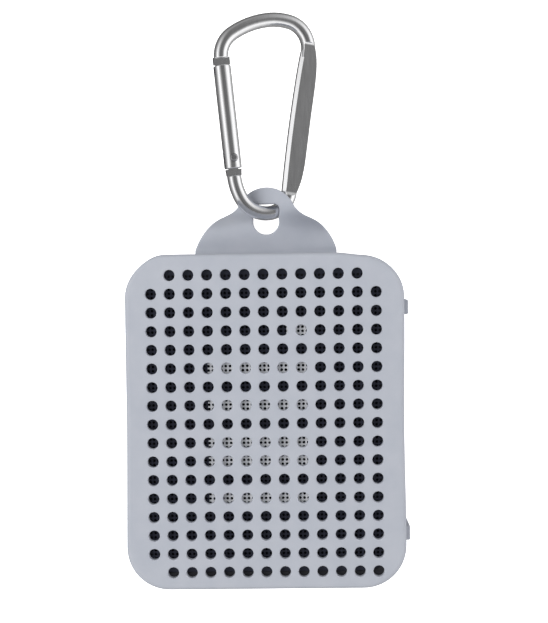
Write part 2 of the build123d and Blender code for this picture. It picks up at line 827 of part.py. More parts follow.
with BuildPart() as board_screws:
    with BuildSketch(Plane.XY.offset(6.0)):
        with Locations(*board_holes):
            Circle(1.7)
    extrude(amount=1.1)
    with BuildSketch(Plane.XY.offset(6.5)):
        with Locations(*board_holes):
            Rectangle(2.0, 0.5)
            Rectangle(0.5, 2.0)
    extrude(amount=0.7, mode=Mode.SUBTRACT)
    with BuildSketch(Plane.XY.offset(3.9)):
        with Locations(*board_holes):
            Circle(0.78)
    extrude(amount=2.1)
save(board_screws.part, "board_screws")


def box_part(x, y, z, size_x, size_y, size_z):
    # a box standing on height z
    with BuildPart(mode=Mode.PRIVATE) as block:
        with BuildSketch(Plane.XY.offset(z)):
            with Locations((x, y)):
                Rectangle(size_x, size_y)
        extrude(amount=size_z)
    return block.part


with BuildPart() as shield_can:
    with BuildSketch(Plane.XY.offset(6.0)):
        with Locations((-12, -20)):
            RectangleRounded(14, 11, 0.6)
    extrude(amount=1.6)
    with BuildSketch(Plane.XY.offset(6.0)):
        with Locations((-12, -20)):
            Rectangle(13.4, 10.4)
    extrude(amount=1.3, mode=Mode.SUBTRACT)
save(shield_can.part, "shield_can")
save(box_part(8, -16, 6.0, 7, 7, 1.0), "amplifier_chip")
save(box_part(-2, -31, 6.0, 4, 4, 0.9), "charge_chip")
save(box_part(4, -25, 6.0, 5, 5, 1.8), "power_inductor")
save(box_part(20, -14.5, 6.0, 5.5, 4.5, 3.0), "battery_socket")

with BuildPart() as usb_port:
    with BuildSketch(Plane.XZ.offset(41.2)):
        with Locations((-13.0, 7.62)):
            RectangleRounded(8.94, 3.2, 1.1)
    extrude(amount=-7.4)
    with BuildSketch(Plane.XZ.offset(41.3)):
        with Locations((-13.0, 7.62)):
            RectangleRounded(8.34, 2.56, 0.9)
    extrude(amount=-6.3, mode=Mode.SUBTRACT)
    with BuildSketch(Plane.XZ.offset(40.6)):
        with Locations((-13.0, 7.62)):
            RectangleRounded(6.69, 0.7, 0.2)
    extrude(amount=-5.8)
save(usb_port.part, "usb_port")

with BuildPart() as aux_jack:
    with BuildSketch(Plane.XY.offset(6.0)):
        with Locations((15.0, -33.2)):
            Rectangle(6.4, 12.0)
    extrude(amount=5.0)
    with BuildSketch(Plane.XZ.offset(39.2)):
        with Locations((15.0, 8.7)):
            Circle(2.7)
    extrude(amount=2.0)
    with BuildSketch(Plane.XZ.offset(41.3)):
        with Locations((15.0, 8.7)):
            Circle(1.8)
    extrude(amount=-13.6, mode=Mode.SUBTRACT)
save(aux_jack.part, "aux_jack")

with BuildPart() as key_board:
    with BuildSketch(Plane.YZ.offset(-31.4)):
        with Locations((0, key_z)):
            Rectangle(64.0, 10.0)
    extrude(amount=1.0)
save(key_board.part, "key_board")

key_rows = [(step * key_pitch, key_z) for step in (-2, -1, 0, 1, 2)]
with BuildPart() as key_switches:
    with BuildSketch(Plane.YZ.offset(-31.4)):
        with Locations(*key_rows):
            RectangleRounded(4.2, 3.2, 0.4)
    extrude(amount=-0.7)
    with BuildSketch(Plane.YZ.offset(-32.1)):
        with Locations(*key_rows):
            Circle(0.8)
    extrude(amount=-0.35)
save(key_switches.part, "key_switches")

with BuildPart() as microphone:
    with BuildSketch(Plane.YZ.offset(-31.4)):
        with Locations((-29.4, key_z)):
            Rectangle(3.2, 2.4)
    extrude(amount=-1.0)
save(microphone.part, "microphone")

with BuildPart() as status_led:
    with BuildSketch(Plane.YZ.offset(-31.4)):
        with Locations((29.85, key_z)):
            Rectangle(1.6, 0.9)
    extrude(amount=-0.6)
save(status_led.part, "status_led")

with BuildPart() as status_light_pipe:
    with BuildSketch(Plane.YZ.offset(-35.7)):
        with Locations((29.85, key_z)):
            Circle(0.95)
    extrude(amount=3.4)
    fillet(status_light_pipe.faces().sort_by(Axis.X)[0].edges(), radius=0.3)
save(status_light_pipe.part, "status_light_pipe")


def key_part(key_y, raised):
    # one push key: cap through the wall, flange behind it, a raised generic sign on its face
    with BuildPart(mode=Mode.PRIVATE) as key:
        with BuildSketch(Plane.YZ.offset(-33.5)):
            with Locations((key_y, key_z)):
                RectangleRounded(key_width, key_tall, 1.0)
        extrude(amount=-2.7)
        fillet(key.faces().sort_by(Axis.X)[0].edges(), radius=0.5)
        with BuildSketch(Plane.YZ.offset(-33.5)):
            with Locations((key_y, key_z)):
                RectangleRounded(key_width + 1.4, key_tall + 1.4, 1.2)
        extrude(amount=0.55)
        with BuildSketch(Plane.YZ.offset(-36.1)):
            with Locations(*[(key_y + dy, key_z + dz) for dy, dz, size in raised]):
                Circle(0.45)
        extrude(amount=-0.25)
    return key.part


save(key_part(-24, ((-1.2, 0, 1), (1.2, 0, 1), (0, 1.2, 1), (0, -1.2, 1))), "power_key")
save(key_part(-12, ((-0.8, 0, 1), (0.8, 0, 1))), "link_key")
save(key_part(0, ((-1.0, 0, 1), (0, 0, 1), (1.0, 0, 1))), "volume_down_key")
save(key_part(12, ((-1.1, 0, 1), (1.1, 0, 1), (0, 0, 1), (0, 1.1, 1), (0, -1.1, 1))), "volume_up_key")
save(key_part(24, ((-0.6, 0.8, 1), (-0.6, -0.8, 1), (0.8, 0, 1))), "play_key")

# ---------------------------------------------------------------- battery
with BuildPart() as battery_cell:
    with BuildSketch(Plane.XY.offset(4.4)):
        with Locations((0, 24.6)):
            RectangleRounded(48, 32, 1.5)
    extrude(amount=6.0)
    fillet(battery_cell.edges().filter_by(Plane.XY), radius=0.8)
save(battery_cell.part, "battery_cell")
save(box_part(0, 24.6, 3.9, 44, 26, 0.5), "battery_pad")


# ---------------------------------------------------------------- wires
def wire(points, radius):
    with BuildPart(mode=Mode.PRIVATE) as lead:
        with BuildLine() as way:
            Spline(*points)
        with BuildSketch(Plane(origin=way.wires()[0] @ 0, z_dir=way.wires()[0] % 0)):
            Circle(radius)
        sweep(path=way.wires()[0])
    return lead.part


battery_wires = wire(((14, 8.4, 9.4), (17, 3, 9.5), (19.2, -5, 8.6), (19.2, -12.2, 7.6)), 0.5)
battery_wires = battery_wires + wire(
    ((16, 8.4, 9.4), (18.6, 3, 9.5), (20.8, -5, 8.6), (20.8, -12.2, 7.6)), 0.5
)
save(battery_wires, "battery_lead")

speaker_wires = wire(((-2.5, 5.2, 22.0), (-6, 7.2, 17), (-17, 4, 11), (-20, -10.4, 6.6)), 0.5)
speaker_wires = speaker_wires + wire(
    ((2.5, 5.2, 22.0), (-3.6, 8.6, 16), (-15.6, 5.4, 10.2), (-18.4, -10.4, 6.6)), 0.5
)
save(speaker_wires, "speaker_lead")

with BuildPart() as key_ribbon:
    with BuildSketch(Plane.XZ.offset(15.0)):
        with BuildLine():
            Polyline(
                (-30.35, 14.2),
                (-30.15, 14.2),
                (-30.15, 8.0),
                (-27.6, 6.3),
                (-24.0, 6.3),
                (-24.0, 6.02),
                (-27.8, 6.02),
                (-30.35, 7.8),
                close=True,
            )
        make_face()
    extrude(amount=8.0)
save(key_ribbon.part, "key_ribbon")

# ---------------------------------------------------------------- port door
with BuildPart() as port_door:
    with BuildSketch(Plane.XZ.offset(42.8)):
        with Locations((0, 9.75)):
            RectangleRounded(2 * door_half, 8.1, 1.2)
    extrude(amount=-1.1)
    with BuildSketch(Plane.YZ.offset(-door_half + 0.4)):
        with Locations((door_axis_y, door_axis_z)):
            Circle(0.65)
        with Locations((door_axis_y + 0.1, door_axis_z + 0.5)):
            Rectangle(0.9, 1.0)
    extrude(amount=2 * door_half - 0.8)
    # finger lip
    with BuildSketch(Plane.XZ.offset(43.3)):
        with Locations((0, 13.2)):
            SlotOverall(9, 1.0)
    extrude(amount=-0.6)
    with BuildSketch(Plane.YZ.offset(-door_half)):
        with Locations((door_axis_y, door_axis_z)):
            Circle(0.4)
    extrude(amount=2 * door_half, mode=Mode.SUBTRACT)
save(port_door.part, "port_door")

with BuildPart() as port_door_pin:
    with BuildSketch(Plane.YZ.offset(-22.4)):
        with Locations((door_axis_y, door_axis_z)):
            Circle(0.35)
    extrude(amount=44.8)
save(port_door_pin.part, "port_door_pin")
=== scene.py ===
import json
import math

import bmesh
import bpy
from mathutils import Matrix, Vector


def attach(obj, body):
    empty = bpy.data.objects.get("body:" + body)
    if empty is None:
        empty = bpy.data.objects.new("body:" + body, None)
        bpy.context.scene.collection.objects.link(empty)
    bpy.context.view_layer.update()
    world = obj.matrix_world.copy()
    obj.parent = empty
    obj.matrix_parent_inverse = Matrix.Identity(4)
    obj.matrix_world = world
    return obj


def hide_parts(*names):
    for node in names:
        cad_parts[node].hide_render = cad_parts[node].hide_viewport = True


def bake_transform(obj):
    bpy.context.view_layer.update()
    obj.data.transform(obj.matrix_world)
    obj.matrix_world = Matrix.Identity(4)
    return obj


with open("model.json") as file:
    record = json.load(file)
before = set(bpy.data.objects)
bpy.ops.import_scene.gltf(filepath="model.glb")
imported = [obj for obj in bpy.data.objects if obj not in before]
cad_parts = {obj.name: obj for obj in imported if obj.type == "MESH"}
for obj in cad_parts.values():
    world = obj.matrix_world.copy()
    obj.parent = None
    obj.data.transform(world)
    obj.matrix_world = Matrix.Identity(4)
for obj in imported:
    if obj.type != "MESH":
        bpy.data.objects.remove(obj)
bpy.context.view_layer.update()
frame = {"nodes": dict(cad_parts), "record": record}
NODES = frame["nodes"]
MM = 0.001

# ---------------------------------------------------------------- sizes shared with the CAD, mm
WIDTH, HEIGHT, DEPTH = 75.0, 90.0, 35.0
CORNER = 11.5
WALL = 2.0
LIP = 1.8
OPEN_W, OPEN_H, OPEN_R = 61.0, 76.0, 6.0
EDGE = 1.2
BACK_EDGE = 1.0
LIP_SOFT = 0.35
COLUMNS, ROWS = 13, 17
PITCH_X, PITCH_Y = 5.0, 4.98
HOLE_R = 1.5
HOLES_Y = -0.4
HOLE_SOFT = 0.28
FEET_Y = (30.0, -31.8)
FOOT_W, FOOT_L, FOOT_H = 4.0, 18.0, 1.7
FOOT_SOFT = 0.5
FOOT_ROOT = 1.5
KEY_Z = 17.5
KEY_WINDOW = (68.0, 8.4)
KEY_WINDOW_R = 4.15
WINDOW_SOFT = 0.4
LEFT_LEAN = 0.5
NEAR = 0.05
FAR_SAG = 0.7
CORNER_SAG = 0.5
SIDE_DRAW = 0.3
PORT_Z = 9.1
PORT_WINDOW = (45.2, 11.6)
PORT_WINDOW_R = 1.6
CUT_DEPTH = 6.0
GRILLE_W, GRILLE_H, GRILLE_R = 66.0, 81.0, 6.0
GRILLE_BACK, GRILLE_FRONT = 32.1, 32.8
MESH_PITCH = 1.15
MESH_HOLE = 0.40
MESH_RIM = 0.5
TAB_ROOT_SIZE = (40.5, 1.8, 1.8)
TAB_ROOT_PLACE = (0.25, 45.1, 6.4)

# ---------------------------------------------------------------- mesh helpers


def new_object(name, verts_mm, faces, smooth=True):
    mesh = bpy.data.meshes.new(name)
    mesh.from_pydata([tuple(c * MM for c in v) for v in verts_mm], [], faces)
    mesh.validate()
    mesh.update()
    if smooth:
        mesh.polygons.foreach_set("use_smooth", [True] * len(mesh.polygons))
    obj = bpy.data.objects.new(name, mesh)
    bpy.context.scene.collection.objects.link(obj)
    return obj


def modify(obj, kind, **settings):
    mod = obj.modifiers.new(kind.lower(), kind)
    for key, value in settings.items():
        setattr(mod, key, value)
    return mod


def apply_modifiers(obj):
    graph = bpy.context.evaluated_depsgraph_get()
    graph.update()
    mesh = bpy.data.meshes.new_from_object(obj.evaluated_get(graph))
    obj.modifiers.clear()
    obj.data = mesh


def rounded_outline(half_w, half_h, radius, per_x, per_y):
    """Points round a rounded rectangle, anticlockwise from the lower left corner's middle.
    The lower and upper sides have per_x steps, the others per_y, evenly along the outline."""
    points = []
    arc = radius * math.pi / 4
    for side in range(4):
        across = side in (0, 2)
        flat = 2 * ((half_w if across else half_h) - radius)
        steps = per_x if across else per_y
        total = flat + 2 * arc
        for i in range(steps):
            s = total * i / steps
            if s < arc:
                turn = math.pi / 4 - s / radius
                along = -flat / 2 - radius * math.sin(turn)
                out = radius * math.cos(turn)
            elif s <= arc + flat:
                along = s - arc - flat / 2
                out = radius
            else:
                turn = (s - arc - flat) / radius
                along = flat / 2 + radius * math.sin(turn)
                out = radius * math.cos(turn)
            if side == 0:
                points.append((along, -(half_h - radius) - out))
            elif side == 1:
                points.append(((half_w - radius) + out, along))
            elif side == 2:
                points.append((-along, (half_h - radius) + out))
            else:
                points.append((-(half_w - radius) - out, -along))
    return points


# ---------------------------------------------------------------- sleeve
SIDE_STEPS = 4
HOLE_STEPS = 4
EDGE_STEPS = 6


def has_hole(column, row):
    """Rows count from the tab's end. Both corners there and the lower left one have no hole."""
    at_side = column in (0, COLUMNS - 1)
    return not ((row == 0 and at_side) or (row == ROWS - 1 and column == 0))


def smooth_step(value, low, high):
    share = min(max((value - low) / (high - low), 0.0), 1.0)
    return share * share * (3 - 2 * share)


def soften(x, y):
    """The soft case isn't quite a true rectangle: its right side draws in a little between the
    feet, its left side leans in towards the tab, and its far end sags beside the tab."""
    dx, dy = 0.0, 0.0
    if x > WIDTH / 2 - 3 and -30 < y < 28:
        dx = -SIDE_DRAW * math.cos(math.pi * (y + 1) / 58) ** 2
    if x < 0:
        dx = LEFT_LEAN * smooth_step(-x, 26, 36) * smooth_step(y, -42, 5)
    if y > 0:
        dy = -FAR_SAG * smooth_step(x, 19, 27) * smooth_step(y, 25, 43)
        dy -= CORNER_SAG * smooth_step(-x, 27, 34) * smooth_step(y, 30, 42)
    return x + dx, y + dy


def build_sleeve():
    verts, faces, index = [], [], {}
    per_x, per_y = COLUMNS * SIDE_STEPS, ROWS * SIDE_STEPS
    front, back = DEPTH, DEPTH - WALL

    def vert(x, y, z):
        key = (round(x, 4), round(y, 4), round(z, 4))
        if key not in index:
            index[key] = len(verts)
            verts.append((x, y, z))
        return index[key]

    def bridge(outer, inner):
        count = len(outer)
        for i in range(count):
            j = (i + 1) % count
            faces.append((outer[i], outer[j], inner[j], inner[i]))

    def outline(inset):
        points = rounded_outline(
            WIDTH / 2 - inset, HEIGHT / 2 - inset, CORNER - inset, per_x, per_y
        )
        return points if inset >= WALL else [soften(x, y) for x, y in points]

    def grid_point(i, j, edge):
        """A corner of the panel's cells; those on its border lie on the rounded outline."""
        if j == 0:
            return edge[i]
        if i == per_x:
            return edge[per_x + j]
        if j == per_y:
            return edge[per_x + per_y + per_x - i]
        if i == 0:
            return edge[(2 * per_x + per_y + per_y - j) % len(edge)]
        x = (i / SIDE_STEPS - COLUMNS / 2) * PITCH_X
        y = (j / SIDE_STEPS - ROWS / 2) * PITCH_Y + HOLES_Y
        return (x, y)

    def cell_border(column, row, edge, z):
        i, j, n = column * SIDE_STEPS, (ROWS - 1 - row) * SIDE_STEPS, SIDE_STEPS
        steps = [(i + k, j) for k in range(n)] + [(i + n, j + k) for k in range(n)]
        steps += [(i + n - k, j + n) for k in range(n)] + [(i, j + n - k) for k in range(n)]
        return [vert(*grid_point(a, b, edge), z) for a, b in steps]

    # angles of a hole's ring points, one for each of a cell's border points
    turns = []
    for side in range(4):
        for k in range(SIDE_STEPS):
            t = 2 * k / SIDE_STEPS - 1
            px, py = ((t, -1), (1, t), (-t, 1), (-1, -t))[side]
            turns.append(math.atan2(py, px))
    # down a hole: flat ring, rounded front edge, wall, small back edge
    stations = [(HOLE_R + HOLE_SOFT + 0.2, front)]
    for k in range(HOLE_STEPS + 1):
        a = math.pi / 2 * k / HOLE_STEPS
        across, down = HOLE_SOFT * (1 - math.sin(a)), HOLE_SOFT * (1 - math.cos(a))
        stations.append((HOLE_R + across, front - down))
    stations += [(HOLE_R, back + 0.15), (HOLE_R + 0.15, back)]
    front_edge, back_edge = outline(EDGE), outline(WALL)
    for column in range(COLUMNS):
        for row in range(ROWS):
            border = cell_border(column, row, front_edge, front)
            back_border = cell_border(column, row, back_edge, back)
            if not has_hole(column, row):
                faces.append(tuple(border))
                faces.append(tuple(back_border[::-1]))
                continue
            cx = (column - (COLUMNS - 1) / 2) * PITCH_X
            cy = HOLES_Y + ((ROWS - 1) / 2 - row) * PITCH_Y
            rings = [border]
            for radius, z in stations:
                ring = [(cx + radius * math.cos(a), cy + radius * math.sin(a)) for a in turns]
                rings.append([vert(x, y, z) for x, y in ring])
            rings.append(back_border)
            for a, b in zip(rings, rings[1:]):
                bridge(a, b)

    # loops out over the front edge, down the walls and in to the back opening
    def loop(points, z):
        return [vert(x, y, z) for x, y in points]

    loops = []
    for k in range(EDGE_STEPS + 1):
        a = math.pi / 2 * k / EDGE_STEPS
        loops.append(loop(outline(EDGE * (1 - math.sin(a))), front - EDGE * (1 - math.cos(a))))
    for z in (28.0, 23.0, 18.0, 13.0, 8.0, 4.0):
        loops.append(loop(outline(0.0), z))
    for k in range(5):
        a = math.pi / 2 * k / 4
        loops.append(loop(outline(BACK_EDGE * (1 - math.cos(a))), BACK_EDGE * (1 - math.sin(a))))
    opening = rounded_outline(OPEN_W / 2, OPEN_H / 2, OPEN_R, per_x, per_y)
    for k in range(4):
        a = math.pi / 2 * k / 3
        grow = LIP_SOFT * (1 - math.sin(a))
        size = (OPEN_W / 2 + grow, OPEN_H / 2 + grow, OPEN_R + grow, per_x, per_y)
        loops.append(loop(rounded_outline(*size), LIP_SOFT * (1 - math.cos(a))))
    loops.append(loop(opening, LIP))
    loops.append(loop(back_edge, LIP))
    loops.append(loop(back_edge, back))
    for a, b in zip(loops, loops[1:]):
        bridge(b, a)
    return new_object("sleeve_skin", verts, faces)


def rounded_cutter(name, size, radius, centre):
    """A box with rounded corners seen along its thinnest axis, as a boolean cutter."""
    bpy.ops.mesh.primitive_cube_add(size=1, location=[c * MM for c in centre])
    cutter = bpy.context.object
    cutter.name = name
    cutter.scale = [s * MM for s in size]
    bpy.ops.object.transform_apply(location=False, rotation=False, scale=True)
    thin = min(range(3), key=lambda i: size[i])
    mesh = cutter.data
    weight = mesh.attributes.new("bevel_weight_edge", "FLOAT", "EDGE")
    for edge in mesh.edges:
        a, b = (mesh.vertices[v].co for v in edge.vertices)
        along = max(range(3), key=lambda i: abs(a[i] - b[i]))
        weight.data[edge.index].value = 1.0 if along == thin else 0.0
    modify(cutter, "BEVEL", width=radius * MM, segments=8, limit_method="WEIGHT")
    apply_modifiers(cutter)
    return cutter


def rounded_bar(name, size, soft, centre, segments=6):
    bpy.ops.mesh.primitive_cube_add(size=1, location=[c * MM for c in centre])
    bar = bpy.context.object
    bar.name = name
    bar.scale = [s * MM for s in size]
    bpy.ops.object.transform_apply(location=True, rotation=False, scale=True)
    modify(bar, "BEVEL", width=soft * MM, segments=segments, limit_method="NONE")
    apply_modifiers(bar)
    bar.data.polygons.foreach_set("use_smooth", [True] * len(bar.data.polygons))
    return bar


def soften_windows(obj):
    """Rounds the outer edges of the two windows in the walls."""
    mesh = obj.data
    weight = mesh.attributes.new("bevel_weight_edge", "FLOAT", "EDGE")
    on_window = []
    for v in mesh.vertices:
        x, y, z = v.co / MM
        by_side = -0.01 < x + WIDTH / 2 < LEFT_LEAN + NEAR
        by_end = abs(y + HEIGHT / 2) < 0.01
        in_keys = abs(y) < KEY_WINDOW[0] / 2 + NEAR and abs(z - KEY_Z) < KEY_WINDOW[1] / 2 + NEAR
        in_ports = abs(x) < PORT_WINDOW[0] / 2 + NEAR and abs(z - PORT_Z) < PORT_WINDOW[1] / 2 + NEAR
        on_window.append((by_side and in_keys) or (by_end and in_ports))
    graph = bmesh.new()
    graph.from_mesh(mesh)
    for edge in graph.edges:
        if len(edge.link_faces) != 2 or not all(on_window[v.index] for v in edge.verts):
            continue
        if edge.calc_face_angle(0.0) > 1.0:
            weight.data[edge.index].value = 1.0
    graph.free()
    modify(obj, "BEVEL", width=WINDOW_SOFT * MM, segments=3, limit_method="WEIGHT")
    apply_modifiers(obj)


sleeve = build_sleeve()
key_size = (CUT_DEPTH, *KEY_WINDOW)
port_size = (PORT_WINDOW[0], CUT_DEPTH, PORT_WINDOW[1])
key_cut = rounded_cutter("key_cut", key_size, KEY_WINDOW_R, (-WIDTH / 2, 0, KEY_Z))
port_cut = rounded_cutter("port_cut", port_size, PORT_WINDOW_R, (0, -HEIGHT / 2, PORT_Z))
for cutter in (key_cut, port_cut):
    modify(sleeve, "BOOLEAN", operation="DIFFERENCE", object=cutter, solver="EXACT")
apply_modifiers(sleeve)
for cutter in (key_cut, port_cut):
    bpy.data.objects.remove(cutter)
soften_windows(sleeve)
feet = []
for n, foot_y in enumerate(FEET_Y):
    foot_x = WIDTH / 2 + (FOOT_H - FOOT_ROOT) / 2
    foot_size = (FOOT_H + FOOT_ROOT, FOOT_W, FOOT_L)
    foot = rounded_bar("foot_%d" % n, foot_size, FOOT_SOFT, (foot_x, foot_y, DEPTH / 2))
    feet.append(foot)
bpy.ops.object.select_all(action="DESELECT")
for foot in feet:
    foot.select_set(True)
sleeve.select_set(True)
bpy.context.view_layer.objects.active = sleeve
bpy.ops.object.join()
modify(sleeve, "WEIGHTED_NORMAL", keep_sharp=True)
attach(sleeve, "speaker")
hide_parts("sleeve")

# ---------------------------------------------------------------- hanging tab
# The CAD tab's mesh with a straight root run into the sleeve's wall, then rounded all over.
tab = bpy.data.objects.new("tab_skin", NODES["hanging_tab"].data.copy())
bpy.context.scene.collection.objects.link(tab)
root = rounded_bar("tab_root", TAB_ROOT_SIZE, 0.2, TAB_ROOT_PLACE, 2)
bpy.ops.object.select_all(action="DESELECT")
root.select_set(True)
tab.select_set(True)
bpy.context.view_layer.objects.active = tab
bpy.ops.object.join()
modify(tab, "REMESH", mode="VOXEL", voxel_size=0.24 * MM, use_smooth_shade=True)
modify(tab, "SMOOTH", factor=0.6, iterations=7)
apply_modifiers(tab)
tab.data.polygons.foreach_set("use_smooth", [True] * len(tab.data.polygons))
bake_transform(tab)
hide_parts("hanging_tab")

# ---------------------------------------------------------------- perforated grille


def build_grille():
    """A sheet with round holes on a square pitch, each hole an octagon with a wall."""
    verts, faces, index, uses = [], [], {}, {}
    across = int(GRILLE_W / MESH_PITCH) // 2
    along = int(GRILLE_H / MESH_PITCH) // 2
    turn = [(-1, -1), (0, -1), (1, -1), (1, 0), (1, 1), (0, 1), (-1, 1), (-1, 0)]
    round_x, round_y = GRILLE_W / 2 - GRILLE_R, GRILLE_H / 2 - GRILLE_R

    def vert(x, y, z):
        key = (round(x, 4), round(y, 4), round(z, 4))
        if key not in index:
            index[key] = len(verts)
            verts.append((x, y, z))
        return index[key]

    def inside(cx, cy):
        far_x = abs(cx) + MESH_PITCH / 2 + MESH_RIM
        far_y = abs(cy) + MESH_PITCH / 2 + MESH_RIM
        if far_x > round_x and far_y > round_y:
            return math.hypot(far_x - round_x, far_y - round_y) < GRILLE_R
        return far_x < GRILLE_W / 2 and far_y < GRILLE_H / 2

    for i in range(-across, across + 1):
        for j in range(-along, along + 1):
            cx, cy = i * MESH_PITCH, j * MESH_PITCH
            if not inside(cx, cy):
                continue
            square = [
                vert(cx + px * MESH_PITCH / 2, cy + py * MESH_PITCH / 2, GRILLE_FRONT)
                for px, py in turn
            ]
            rings = [square]
            for radius, z in (
                (MESH_HOLE + 0.05, GRILLE_FRONT),
                (MESH_HOLE, GRILLE_FRONT - 0.06),
                (MESH_HOLE, GRILLE_BACK),
            ):
                ring = []
                for px, py in turn:
                    a = math.atan2(py, px)
                    ring.append(vert(cx + radius * math.cos(a), cy + radius * math.sin(a), z))
                rings.append(ring)
            for a, b in zip(rings, rings[1:]):
                for k in range(8):
                    m = (k + 1) % 8
                    faces.append((a[k], a[m], b[m], b[k]))
            for k in range(8):
                pair = frozenset((square[k], square[(k + 1) % 8]))
                uses[pair] = uses.get(pair, 0) + 1
    outer = rounded_outline(GRILLE_W / 2, GRILLE_H / 2, GRILLE_R, 60, 72)
    front = [vert(x, y, GRILLE_FRONT) for x, y in outer]
    back = [vert(x, y, GRILLE_BACK) for x, y in outer]
    for k in range(len(outer)):
        m = (k + 1) % len(outer)
        faces.append((back[k], back[m], front[m], front[k]))
        uses[frozenset((front[k], front[m]))] = 1
    sheet = new_object("grille_sheet", verts, faces, smooth=False)
    # plain rim between the outline and the outermost holes
    graph = bmesh.new()
    graph.from_mesh(sheet.data)
    graph.verts.ensure_lookup_table()
    border = []
    for pair, count in uses.items():
        if count == 1:
            border.append(graph.edges.get([graph.verts[v] for v in pair]))
    bmesh.ops.triangle_fill(graph, use_beauty=True, edges=border, normal=(0, 0, 1))
    graph.to_mesh(sheet.data)
    graph.free()
    return sheet


grille = build_grille()
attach(grille, "speaker")
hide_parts("front_grille")

# ---------------------------------------------------------------- materials


def material(name):
    mat = bpy.data.materials.new(name)
    mat.use_nodes = True
    tree = mat.node_tree
    shader = tree.nodes["Principled BSDF"]
    return mat, tree, shader


def object_coords(tree):
    node = tree.nodes.new("ShaderNodeTexCoord")
    return node.outputs["Object"]


def noise(tree, coords, scale, detail=3.0, roughness=0.5):
    node = tree.nodes.new("ShaderNodeTexNoise")
    node.inputs["Scale"].default_value = scale
    node.inputs["Detail"].default_value = detail
    node.inputs["Roughness"].default_value = roughness
    tree.links.new(coords, node.inputs["Vector"])
    return node.outputs["Fac"]


def ramp(tree, value, stops):
    node = tree.nodes.new("ShaderNodeValToRGB")
    tree.links.new(value, node.inputs["Fac"])
    elements = node.color_ramp.elements
    while len(elements) < len(stops):
        elements.new(0.5)
    for element, (place, colour) in zip(elements, stops):
        element.position = place
        element.color = (*colour, 1.0) if len(colour) == 3 else colour
    return node.outputs["Color"]


def spread(tree, value, low, high):
    node = tree.nodes.new("ShaderNodeMapRange")
    node.inputs["To Min"].default_value = low
    node.inputs["To Max"].default_value = high
    tree.links.new(value, node.inputs["Value"])
    return node.outputs["Result"]


def bump(tree, shader, height, strength, distance):
    node = tree.nodes.new("ShaderNodeBump")
    node.inputs["Strength"].default_value = strength
    node.inputs["Distance"].default_value = distance
    tree.links.new(height, node.inputs["Height"])
    tree.links.new(node.outputs["Normal"], shader.inputs["Normal"])


def math_node(tree, operation, a, b=None):
    node = tree.nodes.new("ShaderNodeMath")
    node.operation = operation
    for slot_number, value in enumerate((a, b)):
        if value is None:
            continue
        if isinstance(value, (int, float)):
            node.inputs[slot_number].default_value = value
        else:
            tree.links.new(value, node.inputs[slot_number])
    return node.outputs[0]


def grained(name, dark, light, rough, metal=0.0, scale=900.0, bump_mm=0.01, coat=0.0, **extra):
    """A surface with mottled colour, varied roughness and a fine bump."""
    mat, tree, shader = material(name)
    coords = object_coords(tree)
    broad = noise(tree, coords, scale / 14, 4.0)
    fine = noise(tree, coords, scale, 5.0, 0.6)
    colour = ramp(tree, broad, [(0.32, dark), (0.68, light)])
    tree.links.new(colour, shader.inputs["Base Color"])
    tree.links.new(spread(tree, fine, rough - 0.07, rough + 0.07), shader.inputs["Roughness"])
    shader.inputs["Metallic"].default_value = metal
    shader.inputs["Coat Weight"].default_value = coat
    for key, value in extra.items():
        shader.inputs[key].default_value = value
    bump(tree, shader, fine, 0.5, bump_mm * MM)
    return mat


silicone = grained(
    "silicone_grey", (0.412, 0.434, 0.488), (0.440, 0.459, 0.511), 0.56, 0.0, 2600.0, 0.006
)
silicone_shader = silicone.node_tree.nodes["Principled BSDF"]
silicone_shader.inputs["Specular IOR Level"].default_value = 0.35
silicone_shader.inputs["Sheen Weight"].default_value = 0.08


def polished_aluminium():
    mat, tree, shader = material("aluminium_polished")
    coords = object_coords(tree)
    scratch = tree.nodes.new("ShaderNodeMapping")
    scratch.inputs["Scale"].default_value = (900.0, 120.0, 900.0)
    tree.links.new(coords, scratch.inputs["Vector"])
    lines = noise(tree, scratch.outputs["Vector"], 1.0, 6.0, 0.65)
    colour = ramp(tree, lines, [(0.3, (0.84, 0.84, 0.85)), (0.7, (0.93, 0.93, 0.94))])
    tree.links.new(colour, shader.inputs["Base Color"])
    shader.inputs["Metallic"].default_value = 1.0
    tree.links.new(spread(tree, lines, 0.10, 0.22), shader.inputs["Roughness"])
    bump(tree, shader, lines, 0.25, 0.01 * MM)
    return mat


aluminium = polished_aluminium()


# the row of holes that each bar shows through, its left end and half its height, mm
BARS = ((3, 6.0, 1.7), (5, -15.2, 1.7), (7, -15.2, 1.7), (9, -15.2, 1.9), (10, -15.2, 1.9), (12, -15.2, 1.7))
BAR_END = 12.0


